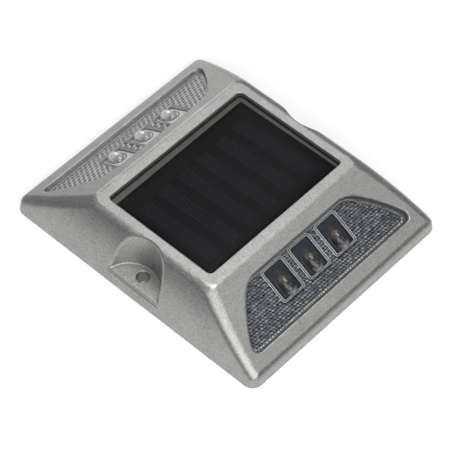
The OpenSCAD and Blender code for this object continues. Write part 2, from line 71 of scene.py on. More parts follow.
# depths under the slope: ledge of the lens, bed of the prisms, way through for the LEDs
LEDGE, PRISM_BED, LED_WAY = 3.4, 5.5, 9.6
# LEDs: spacing, place down, across and out of the slope, and tilt
LED_PITCH, LED_U, LED_Y, LED_W, LED_LIFT = 14.7, 17.1, 0.35, -3.4, math.radians(5)
LED_BAYS = (-1, 0, 1)
# walls of the LED windows: centre down the slope, and shift across it
BAY_U, BAY_Y = 14.6, 0.25
SCREWS = [(x, y) for x in (-45, 0, 45) for y in (-33.5, 33.5)]
BOARD_HOLES = [(x * 24.4, -17.5 + y * 9.9) for x in (-1, 1) for y in (-1, 1)]


# ---------------------------------------------------------------- distance fields
def rmax(a, b, r):
    """Rounded intersection: max of two distances, with the edge between them rounded."""
    return np.minimum(np.maximum(a, b), -r) + np.hypot(np.maximum(a + r, 0), np.maximum(b + r, 0))


def rmin(a, b, r):
    """Rounded union: min of two distances, with the corner between them filled."""
    return -rmax(-a, -b, r)


def step(a, b, t):
    """Smooth step from 0 to 1 as t goes from a to b."""
    t = np.clip((t - a) / (b - a), 0, 1)
    return t * t * (3 - 2 * t)


def box2(x, y, hx, hy, r):
    """Distance to a rectangle with rounded corners."""
    qx, qy = np.abs(x) - hx + r, np.abs(y) - hy + r
    return np.hypot(np.maximum(qx, 0), np.maximum(qy, 0)) + np.minimum(np.maximum(qx, qy), 0) - r


def on_slope(x, z):
    """How far down the slope, and how far out of it, a point is. Both ends are folded together."""
    dx, dz = np.abs(x) - TOP_X, z - BODY[2]
    return dx * CA - dz * SA, dx * SA + dz * CA


def outline(u, y):
    """Distance to the lens outline on the slope."""
    arc = np.hypot(u - ARC_U, np.abs(y) + ARC_Y) - ARC_R
    return rmax(rmax(arc, LENS_TOP - u, 3.0), u - LENS_FOOT, 4.2)


def side_field(y, z):
    """Distance to the bulging sides: one arc from the edge of the top down to the foot."""
    run, half = BODY[1] / 2 - TOP_Y, math.hypot(BODY[1] / 2 - TOP_Y, BODY[2]) / 2
    back = math.sqrt(SIDE_R ** 2 - half ** 2) / (2 * half)
    cy = (BODY[1] / 2 + TOP_Y) / 2 - back * BODY[2]
    cz = BODY[2] / 2 - back * run
    return np.hypot(np.abs(y) - cy, z - cz) - SIDE_R


def housing_field(x, y, z):
    """Distance to the cast shell, with its openings and its bosses."""
    ax, ay = np.abs(x), np.abs(y)
    u, w = on_slope(x, z)
    lip = (ax - BODY[0] / 2) * math.cos(LIP_LEAN) + z * math.sin(LIP_LEAN)
    ends = rmax(w, lip, 1.6)
    side = side_field(y, z)
    d = rmax(ends, side, 4.4 - 1.2 * step(0, 7, z))
    d = rmax(d, z - BODY[2], 0.45 + 1.5 * step(-3, 3, side - ends))
    d = rmax(d, -z, 0.25)
    # room inside, with its bosses
    room = rmax(rmax(rmax(ay - ROOM_Y, z - ROOM_TOP, 1), w + ROOM_WALL, 1), ROOM_FLOOR - z, 0.2)
    boss = np.full(np.shape(x), 99.0)
    for px, py in SCREWS:
        boss = np.minimum(boss, np.hypot(x - px, y - py) - 3.2)
    boss = np.maximum(boss, 2.8 - z)
    for px, py in BOARD_HOLES:
        boss = np.minimum(boss, np.maximum(np.hypot(x - px, y - py) - 2.4, 10.2 - z))
    d = rmax(d, -rmax(room, -boss, 0.4), 0.4)
    d = rmax(d, -rmax(box2(x, y, 21.8, 31.95, 2), 15 - z, 0.2), 0.3)
    d = rmax(d, -rmax(box2(x, y, 54.2, 40.2, 4), z - 2.8, 0.3), 0.3)
    # screw pockets, their sills and the anchor holes
    lean = (z - POCKET_Z) / (BODY[2] - POCKET_Z)
    cone = np.hypot(x / (1 + 0.05 * lean), ay - POCKET_Y) - POCKET_R - 0.5 * lean
    d = rmax(d, -rmax(cone, POCKET_Z - z, 0.4), 0.8)
    sill = rmax(rmax(ax - 12.75, np.abs(z - 5.6) - 0.7, 0.1), ay - 51.45, 0.5)
    d = rmin(d, np.maximum(sill, 44 - ay), 0.1)
    groove = rmax(rmax(ax - 12.6, np.abs(z - 4.55) - 0.22, 0.05), -side - 0.3, 0.05)
    d = rmax(d, -groove, 0.1)
    d = rmax(d, ANCHOR_R - np.hypot(x, ay - ANCHOR_Y), 0.3)
    # window of the panel
    d = rmax(d, -rmax(box2(x, y, WINDOW_X, WINDOW_Y, 1.8), WINDOW_Z - z, 0.3), 0.45)
    # lens recess, the pocket of the prisms and the way through for the LEDs
    rim = outline(u, y)
    d = rmax(d, -rmax(rim, -LEDGE - w, 0.2), 0.5)
    d = rmax(d, -rmax(rim + 1.5, -PRISM_BED - w, 0.2), 0.2)
    d = rmax(d, -rmax(box2(u - 16.5, y, 9.1, 25, 1), -LED_WAY - w, 0.2), 0.2)
    # bores for the screws
    for px, py in SCREWS:
        d = np.maximum(d, -np.maximum(np.hypot(x - px, y - py) - 1.5, z - 6.4))
    for px, py in BOARD_HOLES:
        d = np.maximum(d, -np.maximum(np.hypot(x - px, y - py) - 0.9, z - 15))
    return d


def capsule(u, y, w, radius, back):
    """Distance to the round-ended rod about the nearest LED's axis."""
    yi = y - LED_Y - LED_PITCH * np.clip(np.round(y / LED_PITCH), -1, 1)
    du, dw = u - LED_U, w - LED_W
    along = du * math.cos(LED_LIFT) + dw * math.sin(LED_LIFT)
    off = dw * math.cos(LED_LIFT) - du * math.sin(LED_LIFT)
    t = np.clip(along, -back, 2.5)
    return np.sqrt((along - t) ** 2 + off ** 2 + yi ** 2) - radius


def led_frame(u, y):
    """Distance to the outline of the nearest LED window."""
    yi = y - LED_PITCH * np.clip(np.round(y / LED_PITCH), -1, 1)
    return box2(u - 14.3, yi, 7.1, 5.35, 0.7)


def lens_field(u, y, w):
    """Distance to the lens plate, with a raised line round each window and a hood over each LED."""
    rim = outline(u, y)
    d = rmax(rim + 0.15, np.abs(w + 2.0) - 0.8, 0.3)
    frame_line = np.abs(led_frame(u, y)) - 0.38
    d = rmin(d, rmax(frame_line, np.abs(w + 1.2) - 0.25, 0.2), 0.2)
    hood = rmax(capsule(u, y, w, 3.5, 4.1), -2.2 - w, 0.2)
    d = rmin(d, hood, 0.5)
    d = rmax(d, -capsule(u, y, w, 2.95, 3.7), 0.1)
    return d


# ---------------------------------------------------------------- meshes from fields
def surface(field, xs, ys, zs, rounds=4):
    """Closed surface of a distance field on an uneven grid: one point per crossed cell, drawn onto it."""
    gx, gy, gz = np.meshgrid(xs, ys, zs, indexing="ij")
    f = field(gx, gy, gz)
    inside = f < 0
    shape = tuple(n - 1 for n in f.shape)
    total = np.zeros(shape + (3,))
    count = np.zeros(shape)
    grids = (gx, gy, gz)

    def cell(a, off):
        return a[off[0]:off[0] + shape[0], off[1]:off[1] + shape[1], off[2]:off[2] + shape[2]]

    corners = [(i, j, k) for i in (0, 1) for j in (0, 1) for k in (0, 1)]
    for c in corners:
        for axis in range(3):
            if c[axis]:
                continue
            e = list(c)
            e[axis] = 1
            fa, fb = cell(f, c), cell(f, e)
            cross = (fa < 0) != (fb < 0)
            t = np.where(cross, fa / np.where(cross, fa - fb, 1), 0)
            for k in range(3):
                pa, pb = cell(grids[k], c), cell(grids[k], e)
                total[..., k] += np.where(cross, pa + t * (pb - pa), 0)
            count += cross
    live = count > 0
    number = np.full(shape, -1)
    number[live] = np.arange(live.sum())
    pts = total[live] / count[live][:, None]
    pitch = np.stack([np.diff(a)[np.nonzero(live)[k]] for k, a in enumerate((xs, ys, zs))], 1)
    home = pts.copy()
    for _ in range(rounds):
        g, v = gradient(field, pts)
        move = -v[:, None] * g / np.maximum((g ** 2).sum(1), 0.2)[:, None]
        pts = np.clip(pts + move, home - 0.6 * pitch, home + 0.6 * pitch)
    quads = []
    for axis in range(3):
        a, b = [k for k in range(3) if k != axis]
        lo = [slice(1, -1)] * 3
        hi = [slice(1, -1)] * 3
        lo[axis], hi[axis] = slice(0, -1), slice(1, None)
        s0, s1 = inside[tuple(lo)], inside[tuple(hi)]
        idx = np.argwhere(s0 != s1)
        out = s0[tuple(idx.T)]
        idx[:, a] += 1
        idx[:, b] += 1
        ring = []
        for da, db in ((-1, -1), (0, -1), (0, 0), (-1, 0)):
            q = idx.copy()
            q[:, a] += da
            q[:, b] += db
            ring.append(number[tuple(q.T)])
        ring = np.stack(ring, 1)
        if axis == 1:
            out = ~out
        ring[~out] = ring[~out][:, ::-1]
        quads.append(ring)
    return pts, np.concatenate(quads)


def gradient(field, p, h=0.01):
    """Slope of a field at points, and its value there."""
    v = field(p[:, 0], p[:, 1], p[:, 2])
    g = np.zeros_like(p)
    for k in range(3):
        q = p.copy()
        q[:, k] += h
        r = p.copy()
        r[:, k] -= h
        g[:, k] = (field(q[:, 0], q[:, 1], q[:, 2]) - field(r[:, 0], r[:, 1], r[:, 2])) / (2 * h)
    return g, v


def make(name, verts, faces, smooth=True):
    """Mesh object from points in mm and faces as lists or an array of indices."""
    me = bpy.data.meshes.new(name)
    faces = [list(map(int, f)) for f in faces]
    me.from_pydata([tuple(float(c) * MM for c in v) for v in verts], [], faces)
    me.polygons.foreach_set("use_smooth", [smooth] * len(me.polygons))
    me.update()
    ob = bpy.data.objects.new(name, me)
    bpy.context.scene.collection.objects.link(ob)
    return ob


def exact_normals(ob, field):
    """Gives each corner the field's own normal, so that shading doesn't follow the facets."""
    me = ob.data
    co = np.empty(len(me.vertices) * 3)
    me.vertices.foreach_get("co", co)
    co = co.reshape(-1, 3) / MM
    g, _ = gradient(field, co)
    g /= np.maximum(np.linalg.norm(g, axis=1), 1e-6)[:, None]
    me.normals_split_custom_set_from_vertices(g.tolist())


def thin_out(ob, ratio):
    """Takes faces away where the surface is flat."""
    mod = ob.modifiers.new("thin", "DECIMATE")
    mod.ratio = ratio
    dg = bpy.context.evaluated_depsgraph_get()
    me = bpy.data.meshes.new_from_object(ob.evaluated_get(dg))
    ob.modifiers.clear()
    ob.data = me
    me.polygons.foreach_set("use_smooth", [True] * len(me.polygons))


def tube(rings, n, wrap=False):
    """Quads between neighbouring rings of n points; wrapped, the last ring meets the first."""
    faces = []
    for i in range(rings if wrap else rings - 1):
        j = (i + 1) % rings
        for k in range(n):
            q = (k + 1) % n
            faces.append([i * n + k, i * n + q, j * n + q, j * n + k])
    return faces


def round_rect(hx, hy, r, inset, seg):
    """Points of a rounded rectangle's outline about its centre, drawn in by an inset."""
    out, r_in = [], max(r - inset, 0.01)
    for k, (sx, sy) in enumerate(((1, 1), (-1, 1), (-1, -1), (1, -1))):
        for j in range(seg + 1):
            a = math.radians(90 * k + 90 * j / seg)
            out.append((sx * (hx - r) + r_in * math.cos(a), sy * (hy - r) + r_in * math.sin(a)))
    return out


def spans(*parts):
    """Grid lines: (start, end, pitch) runs joined end to end."""
    out = []
    for a, b, h in parts:
        n = max(1, int(round((b - a) / h)))
        out += list(np.linspace(a, b, n + 1)[:-1])
    out.append(parts[-1][1])
    return np.array(out)


# ---------------------------------------------------------------- materials
class Nodes:
    """Short-hand for building a material's node tree."""

    def __init__(self, name):
        self.mat = bpy.data.materials.new(name)
        self.mat.use_nodes = True
        self.nt = self.mat.node_tree
        self.nt.nodes.clear()
        self.out = self.nt.nodes.new("ShaderNodeOutputMaterial")
        self.coord = self.nt.nodes.new("ShaderNodeTexCoord").outputs["Object"]

    def add(self, kind, **values):
        n = self.nt.nodes.new(kind)
        for k, v in values.items():
            if hasattr(n, k) and k not in n.inputs:
                setattr(n, k, v)
            else:
                self.put(n.inputs[k.replace("_", " ") if k.replace("_", " ") in n.inputs else k], v)
        return n

    def put(self, socket, v):
        if isinstance(v, bpy.types.NodeSocket):
            self.nt.links.new(v, socket)
        else:
            socket.default_value = v

    def noise(self, scale, detail=3.0, rough=0.6):
        n = self.add("ShaderNodeTexNoise", Scale=scale, Detail=detail, Roughness=rough)
        self.put(n.inputs["Vector"], self.coord)
        return n.outputs["Fac"]

    def math(self, op, a, b=0.0, c=0.0):
        n = self.nt.nodes.new("ShaderNodeMath")
        n.operation = op
        for s, v in zip(n.inputs, (a, b, c)):
            self.put(s, v)
        return n.outputs[0]

    def remap(self, v, a, b, lo=0.0, hi=1.0):
        n = self.nt.nodes.new("ShaderNodeMapRange")
        for s, x in zip(n.inputs, (v, a, b, lo, hi)):
            self.put(s, x)
        return n.outputs[0]

    def ramp(self, v, stops):
        n = self.nt.nodes.new("ShaderNodeValToRGB")
        self.put(n.inputs[0], v)
        while len(n.color_ramp.elements) < len(stops):
            n.color_ramp.elements.new(0.5)
        for e, (p, c) in zip(n.color_ramp.elements, stops):
            e.position = p
            e.color = (*c, 1)
        return n.outputs[0]

    def bump(self, height, strength, distance, normal=None):
        n = self.nt.nodes.new("ShaderNodeBump")
        n.inputs["Strength"].default_value = strength
        n.inputs["Distance"].default_value = distance
        self.put(n.inputs["Height"], height)
        if normal is not None:
            self.put(n.inputs["Normal"], normal)
        return n.outputs[0]

    def principled(self, **values):
        n = self.nt.nodes.new("ShaderNodeBsdfPrincipled")
        for k, v in values.items():
            k = k.replace("_", " ")
            if isinstance(v, tuple) and len(v) == 3:
                v = (*v, 1)
            self.put(n.inputs[k], v)
        return n

    def finish(self, shader):
        self.nt.links.new(shader.outputs[0], self.out.inputs[0])
        return self.mat


def cast_metal(name, tint=(0.370, 0.374, 0.364), rough=0.37):
    """Die-cast aluminium, blasted satin, with a fine sparkling grain and faint mottling."""
    m = Nodes(name)
    grain = m.noise(1500, 2.0, 0.75)
    mottle = m.noise(160, 3.0, 0.6)
    cloud = m.noise(28, 2.0, 0.5)
    level = m.math("ADD", m.remap(grain, 0.30, 0.72, 0.67, 1.21),
                   m.remap(mottle, 0.3, 0.7, -0.05, 0.05))
    level = m.math("ADD", level, m.remap(cloud, 0.3, 0.7, -0.02, 0.02))
    shade = m.add("ShaderNodeVectorMath", operation="SCALE")
    m.put(shade.inputs[0], tint)
    m.put(shade.inputs["Scale"], level)
    bump = m.bump(grain, 0.35, 0.00012, m.bump(mottle, 0.15, 0.0004))
    return m.finish(m.principled(
        Base_Color=shade.outputs[0], Metallic=0.88,
        Roughness=m.remap(grain, 0.3, 0.7, rough - 0.06, rough + 0.08), Normal=bump))


def plain(name, colour, rough, metal, vary, scale, bump=0.1, depth=0.0001, coat=0.0, spec=0.5):
    """Even material whose colour, roughness and surface vary a little with two noises."""
    m = Nodes(name)
    fine, broad = m.noise(scale, 4.0), m.noise(scale / 12, 2.0)
    amount = m.math("ADD", m.remap(fine, 0.3, 0.7, -vary / 2, vary / 2),
                    m.remap(broad, 0.3, 0.7, -vary / 2, vary / 2))
    shade = m.add("ShaderNodeVectorMath", operation="SCALE")
    m.put(shade.inputs[0], colour)
    m.put(shade.inputs["Scale"], m.math("ADD", amount, 1.0))
    b = m.principled(Base_Color=shade.outputs[0], Metallic=metal,
                     Roughness=m.remap(fine, 0.3, 0.7, max(rough - 0.06, 0.02), rough + 0.06),
                     Normal=m.bump(fine, bump, depth))
    b.inputs["Coat Weight"].default_value = coat
    b.inputs["Coat Roughness"].default_value = 0.08
    b.inputs["Specular IOR Level"].default_value = spec
    return m.finish(b)


def clear(name, colour, skin, below, rough, spec=0.5, depth=None):
    """Clear plastic: a faint haze at its outer skin, almost nothing below a depth under the slope."""
    m = Nodes(name)
    haze = m.noise(90, 3.0)
    body = m.remap(haze, 0.3, 0.7, skin * 0.85, skin * 1.15)
    if depth is not None:
        sep = m.add("ShaderNodeSeparateXYZ")
        m.put(sep.inputs[0], m.coord)
        out = m.math("MULTIPLY_ADD", m.math("SUBTRACT", m.math("ABSOLUTE", sep.outputs[0]), TOP_X * MM), SA,
                     m.math("MULTIPLY", m.math("SUBTRACT", sep.outputs[2], BODY[2] * MM), CA))
        body = m.math("MULTIPLY_ADD", m.math("SUBTRACT", body, below),
                      m.remap(out, depth - 0.0001, depth), below)
    b = m.principled(Base_Color=colour, Alpha=body, Roughness=m.remap(haze, 0.3, 0.7, rough, rough + 0.03))
    b.inputs["IOR"].default_value = 1.5
    b.inputs["Specular IOR Level"].default_value = spec
    return m.finish(b)


METAL = cast_metal("cast_aluminium")


def place(ob, material, node, body="marker"):
    """Gives a piece its material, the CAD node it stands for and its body."""
    ob.data.materials.clear()
    ob.data.materials.append(material)
    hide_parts(node)
    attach(ob, body)
    return ob


# ---------------------------------------------------------------- housing
def build_housing():
    # the grid is finest across the foot of the long sides, and in height about the pockets' floor
    xs = spans((-63, -24, 0.45), (-24, -14, 0.8), (-14, 14, 0.45), (14, 24, 0.8), (24, 63, 0.45))
    ys = spans((-53, -49, 0.26), (-49, -33, 0.4), (-33, 33, 0.9), (33, 49, 0.4), (49, 53, 0.26))
    zs = spans((-0.9, 3.9, 0.42), (3.9, 7.1, 0.2), (7.1, 24, 0.42))
    pts, quads = surface(housing_field, xs, ys, zs)
    ob = make("housing_cast", pts, quads)
    thin_out(ob, 0.55)
    exact_normals(ob, housing_field)
    place(ob, METAL, "housing")


build_housing()


# ---------------------------------------------------------------- lens ends
# the prisms keep this far from the lens outline and from the windows, and the beads are this far apart
PRISM_MARGIN, PRISM_GAP, BEAD_PITCH = 1.35, 0.55, 1.25


def slope_points(p, end):
    """Points in slope coordinates (down, across, out) placed on the front (1) or rear (-1) end."""
    p = np.asarray(p, float)
    x = TOP_X + p[:, 0] * CA + p[:, 2] * SA
    z = BODY[2] - p[:, 0] * SA + p[:, 2] * CA
    return np.stack([end * x, p[:, 1], z], 1)


def flip(faces, end):
    """Keeps faces outward after the mirror."""
    return [list(f) if end > 0 else list(f)[::-1] for f in faces]


def lay(name, shape, end, material, node):
    """Flat-shaded piece, given as (points, faces) in slope coordinates, placed on an end."""
    ob = make(name, slope_points(shape[0], end), flip(shape[1], end), smooth=False)
    return place(ob, material, node)


def set_painted_glint(ob, values):
    """Painted glint of each face of a reflector, its painted highlight or shade, for its material to read
    as colour.
    """
    ob.data.attributes.new("painted_glint", "FLOAT", "FACE").data.foreach_set("value", values)


def prism_field(pitch, depth, top, painted_glints):
    """Corner-cube array in slope coordinates: points, faces, and the painted glint of each facet: painted
    highlight and shade set by the facet's direction.
    """
    side = pitch / math.sqrt(3)
    chance = np.random.RandomState(11)
    painted_glint = []
    rows = int(26 / (1.5 * side)) + 2
    cols = int(96 / pitch) + 2
    verts, faces, index = [], [], {}

    def vertex(u, y, level):
        key = (round(u * 50), round(y * 50))
        if key not in index:
            index[key] = len(verts)
            verts.append((u, y, top - level * depth))
        return index[key]

    for r in range(rows):
        for c in range(-cols // 2, cols // 2 + 1):
            u = 6.6 + r * 1.5 * side
            y = (c + 0.5 * (r % 2)) * pitch
            spot = np.array(u), np.array(y)
            if outline(*spot) > -PRISM_MARGIN or led_frame(*spot) < PRISM_GAP:
                continue
            mid = vertex(u, y, 1.0)
            ring = []
            for k in range(6):
                a = math.radians(60 * k)
                ring.append(vertex(u + side * math.cos(a), y + side * math.sin(a), (0.0, 0.5)[k % 2]))
            # each facet direction gets its own painted glint level with a random spread: painted highlight
            # and shade
            for k in (1, 3, 5):
                faces.append([mid, ring[k], ring[(k + 1) % 6], ring[(k + 2) % 6]])
                painted_glint.append(painted_glints[k // 2] + chance.uniform(-painted_glints[3], painted_glints[3]))
    return np.array(verts), faces, painted_glint


def closed(verts, faces, floor):
    """Turns an open relief into a solid that stands on a flat floor: (points, faces)."""
    n = len(verts)
    low = verts.copy()
    low[:, 2] = floor
    used = {}
    for f in faces:
        for a, b in zip(f, f[1:] + f[:1]):
            used[(a, b)] = used.get((a, b), 0) + 1
    walls = [[b, a, a + n, b + n] for (a, b) in used if (b, a) not in used]
    under = [[v + n for v in f[::-1]] for f in faces]
    return np.concatenate([verts, low]), list(faces) + under + walls


def rounded_prism(cx, cy, hx, hy, r, low, high, edge=0.0, seg=5, tilt=0.0):
    """Block with a rounded-rectangle plan and a bevelled upper rim: points and faces."""
    rings = [(low, 0.0), (high - edge, 0.0)]
    if edge:
        rings += [(high - edge * 0.3, edge * 0.3), (high, edge)]
    verts, n = [], 4 * (seg + 1)
    for z, inset in rings:
        for px, py in round_rect(hx, hy, r, inset, seg):
            verts.append((cx + px * math.cos(tilt) - py * math.sin(tilt),
                          cy + px * math.sin(tilt) + py * math.cos(tilt), z))
    cap = [(len(rings) - 1) * n + k for k in range(n)]
    return verts, [list(range(n))[::-1]] + tube(len(rings), n) + [cap]


def joined(parts):
    """Several (points, faces) put together."""
    verts, faces = [], []
    for v, f in parts:
        base = len(verts)
        verts += [tuple(p) for p in v]
        faces += [[i + base for i in q] for q in f]
    return verts, faces


def recess_band(inset, count=260):
    """Closed loop of points on the lens outline, shrunk by an inset."""
    pts = []
    for k in range(count):
        a = 2 * math.pi * k / count
        lo, hi = 0.0, 60.0
        for _ in range(22):
            t = (lo + hi) / 2
            d = float(outline(np.array(18 + t * math.cos(a) * 0.4), np.array(t * math.sin(a)))) + inset
            lo, hi = (t, hi) if d < 0 else (lo, t)
        pts.append((18 + lo * math.cos(a) * 0.4, lo * math.sin(a)))
    return pts


def band_ring(outer, inner, low, high, edge=0.06):
    """Strip between two loops of points, with its upper rims broken, as points and faces."""
    mid = [((a[0] + b[0]) / 2, (a[1] + b[1]) / 2) for a, b in zip(outer, inner)]

    def pulled(loop, z, by):
        out = []
        for p, q in zip(loop, mid):
            d = max(math.dist(p, q), 1e-6)
            out.append((p[0] + (q[0] - p[0]) * by / d, p[1] + (q[1] - p[1]) * by / d, z))
        return out

    verts = pulled(outer, low, 0) + pulled(outer, high - edge, 0) + pulled(outer, high, edge)
    verts += pulled(inner, high, edge) + pulled(inner, high - edge, 0) + pulled(inner, low, 0)
    return verts, tube(6, len(outer), True)


def build_lens(end, name, material):
    """Lens of an end, shaded with the field's own normals."""
    us, ys = spans((5.4, 29.6, 0.36)), spans((-44, -24, 0.5), (-24, 24, 0.36), (24, 44, 0.5))
    ws = spans((-6.9, -3.1, 0.5), (-3.1, 0.5, 0.3))
    pts, quads = surface(lens_field, us, ys, ws)
    g, _ = gradient(lens_field, pts)
    g /= np.maximum(np.linalg.norm(g, axis=1), 1e-6)[:, None]
    ob = make(name + "_moulding", slope_points(pts, end), flip(quads, end))
    tip = slope_points(pts + g, end) - slope_points(pts, end)
    ob.data.normals_split_custom_set_from_vertices(tip.tolist())
    return place(ob, material, name)


def build_reflector(end, name, material, border, pitch, depth, painted_glints, top):
    """Corner-cube block, and behind it a border with a fine bead row along its rim."""
    pts, facets, painted_glint = prism_field(pitch, depth, top, painted_glints)
    block = closed(pts, facets, -5.2)
    ob = lay(name + "_prisms", block, end, material, name)
    set_painted_glint(ob, painted_glint + [0.3] * (len(block[1]) - len(painted_glint)))
    rim = recess_band(0.85, 800)
    beads, painted_bead_glint, run = [], [], 0.0
    chance = np.random.RandomState(5)
    for a, b in zip(rim, rim[1:] + rim[:1]):
        run += math.dist(a, b)
        if run < BEAD_PITCH:
            continue
        run = 0.0
        # no beads at the upper edge by the windows; the beads carry a painted highlight, brightest along
        # the foot and the -Y end
        if a[0] > 8.5 or abs(a[1]) > 23:
            turn = math.atan2(b[1] - a[1], b[0] - a[0])
            beads.append(rounded_prism(a[0], a[1], 0.42, 0.27, 0.2, -3.38, top + 0.1, 0.12, 2, turn))
            # painted highlight of each bead: bright on the foot and -Y end, dimmer elsewhere
            bright = (0.8 if a[0] > 27 or a[1] < -24 else 0.45) + chance.uniform(-0.2, 0.2)
            painted_bead_glint += [bright] * len(beads[-1][1])
    strip = band_ring(recess_band(0.55), recess_band(1.45), -3.39, top - 0.15)
    ob = lay(name + "_border", joined([strip] + beads), end, border, name)
    set_painted_glint(ob, [0.25] * len(strip[1]) + painted_bead_glint)


def build_seal(end, name, material):
    """Bead of sealant between the lens and the ledge it stands on."""
    ring = band_ring(recess_band(0.1), recess_band(0.5), -3.38, -2.75, 0.1)
    lay(name + "_bead", ring, end, material, name)


def frame_ring(u, y, outer, inner, low, high, edge=0.15, seg=5):
    """Rounded-rectangle wall, as points and faces. Each plan is (half length, half width, radius)."""
    profile = [(outer, 0.0, low), (outer, 0.0, high - edge), (outer, edge, high), (inner, -edge, high),
               (inner, 0.0, high - edge), (inner, 0.0, low)]
    verts = [(u + px, y + py, z) for plan, inset, z in profile for px, py in round_rect(*plan, inset, seg)]
    return verts, tube(len(profile), 4 * (seg + 1), True)


def build_windows(end, name, wall, edge_highlight, top):
    """Wall round each LED window, with a fine bead on its outer and inner edge, coloured pale as a painted
    highlight.
    """
    walls, lines = [], []
    low, high = top - 0.35, top + 0.13
    for i in LED_BAYS:
        y = i * LED_PITCH + BAY_Y
        walls.append(frame_ring(BAY_U, y, (7.3, 5.85, 1.2), (6.65, 4.95, 0.9), -5.1, top))
        lines.append(frame_ring(BAY_U, y, (7.38, 5.92, 1.3), (7.20, 5.74, 1.15), low, high, 0.05))
        lines.append(frame_ring(BAY_U, y, (6.78, 5.08, 1.0), (6.60, 4.90, 0.85), low, high, 0.05))
    lay(name + "_window_walls", joined(walls), end, wall, name + "_reflector")
    lay(name + "_window_edges", joined(lines), end, edge_highlight, name + "_reflector")


def bullet(radius, back, front, seg=28, steps=14):
    """LED epoxy as a lathe about its axis: full in the middle and rounded towards both ends."""
    verts = []
    for i in range(steps + 1):
        t = math.cos(math.pi * i / steps)
        s = (front - back) / 2 - t * (front + back) / 2
        r = radius * (1 - abs(t) ** 2.3) ** 0.55
        for k in range(seg):
            a = 2 * math.pi * k / seg
            verts.append((s, r * math.cos(a), r * math.sin(a)))
    return verts, tube(steps + 1, seg)


def tidy_mesh(ob, dist=1e-7):
    """Merges the points that coincide at the two ends of a lathed piece."""
    bm = bmesh.new()
    bm.from_mesh(ob.data)
    bmesh.ops.remove_doubles(bm, verts=bm.verts, dist=dist)
    bmesh.ops.dissolve_degenerate(bm, edges=bm.edges, dist=dist)
    bmesh.ops.recalc_face_normals(bm, faces=bm.faces)
    bm.to_mesh(ob.data)
    bm.free()


def led_points(p):
    """Points about an LED's axis (along, across, up) placed in slope coordinates."""
    p = np.asarray(p, float)
    c, s = math.cos(LED_LIFT), math.sin(LED_LIFT)
    return np.stack([LED_U + p[:, 0] * c - p[:, 2] * s, p[:, 1], LED_W + p[:, 0] * s + p[:, 2] * c], 1)


def build_deck(end, name, material, ring, top):
    """Moulded tray: a bevelled deck in each window, half sunk round its LED, on one base strip."""
    parts, rings = [rounded_prism(14.0, 0, 6.3, 23, 0.8, -6.6, -5.7, 0.2, 3)], []
    for i in LED_BAYS:
        parts.append(rounded_prism(BAY_U, i * LED_PITCH + BAY_Y, 6.55, 4.85, 0.8, -5.8, top, 0.3, 5))
        # a raised ring round each LED, given the near-black socket material: painted shade round the LED
        rings.append(frame_ring(LED_U, i * LED_PITCH + LED_Y, (5.0, 3.5, 3.4), (4.5, 2.9, 2.8),
                                top - 0.3, top + 0.2, 0.1, 8))
    lay(name + "_deck", joined(parts), end, material, name)
    lay(name + "_sockets", joined(rings), end, ring, name)


def build_leds(end, name, glass, tin):
    """Three LEDs on the slope, each with two legs down to the board."""
    bodies, legs = [], []
    for i in LED_BAYS:
        verts, faces = bullet(2.8, 4.45, 4.75)
        bodies.append((led_points(verts) + (0, i * LED_PITCH + LED_Y, 0), faces))
        for side in (-1.27, 1.27):
            verts, faces = rounded_prism(0, 0, 0.25, 0.25, 0.08, 0, 2.2, 0.05)
            legs.append((np.asarray(verts, float) + (14.2, i * LED_PITCH + side, -6.6), faces))
    verts, faces = joined(bodies)
    ob = make(name + "_bodies", slope_points(verts, end), flip(faces, end))
    tidy_mesh(ob)
    place(ob, glass, name)
    lay(name + "_legs", joined(legs), end, tin, name)


def softened(node, width, material, body="marker", angle=35, segments=2, grow=(1.0, 1.0, 1.0)):
    """Copy of a CAD node with its sharp edges rounded over, and stretched a little if asked."""
    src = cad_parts[node]
    me = src.data.copy()
    ob = bpy.data.objects.new(node + "_part", me)
    bpy.context.scene.collection.objects.link(ob)
    ob.matrix_world = src.matrix_world.copy()
    bm = bmesh.new()
    bm.from_mesh(me)
    bmesh.ops.scale(bm, vec=grow, verts=bm.verts)
    bmesh.ops.remove_doubles(bm, verts=bm.verts, dist=2e-6)
    bmesh.ops.dissolve_limit(bm, angle_limit=math.radians(1.0), verts=bm.verts, edges=bm.edges)
    bm.to_mesh(me)
    bm.free()
    me.polygons.foreach_set("use_smooth", [True] * len(me.polygons))
    mod = ob.modifiers.new("soft", "BEVEL")
    mod.width = width * MM
    mod.segments = segments
    mod.limit_method = "ANGLE"
    mod.angle_limit = math.radians(angle)
    mod.use_clamp_overlap = True
    mod.harden_normals = True
    return place(ob, material, node, body)


# ---------------------------------------------------------------- finishes of the pieces
def led_skin(name, tip, body, foot):
    """Epoxy LED, with one colour at its root, one along its body and one at its tip; the bands are partly
    its own colours and partly painted highlight and shade on the dome.
    """
    m = Nodes(name)
    sep = m.add("ShaderNodeSeparateXYZ")
    m.put(sep.inputs[0], m.coord)
    away = m.math("ABSOLUTE", sep.outputs[0])
    down = m.math("MULTIPLY_ADD", m.math("SUBTRACT", away, TOP_X * MM), CA, m.math(
        "MULTIPLY", m.math("SUBTRACT", BODY[2] * MM, sep.outputs[2]), SA))
    swirl = m.noise(700, 3.0)
    t = m.math("ADD", m.remap(down, 0.0123, 0.0213), m.remap(swirl, 0.3, 0.7, -0.06, 0.06))
    col = m.ramp(t, [(0.0, foot), (0.22, foot), (0.42, body), (0.72, body), (1.0, tip)])
    b = m.principled(Base_Color=col, Metallic=0.35, Roughness=m.remap(swirl, 0.3, 0.7, 0.16, 0.26))
    b.inputs["Coat Weight"].default_value = 1.0
    b.inputs["Coat Roughness"].default_value = 0.08
    return m.finish(b)


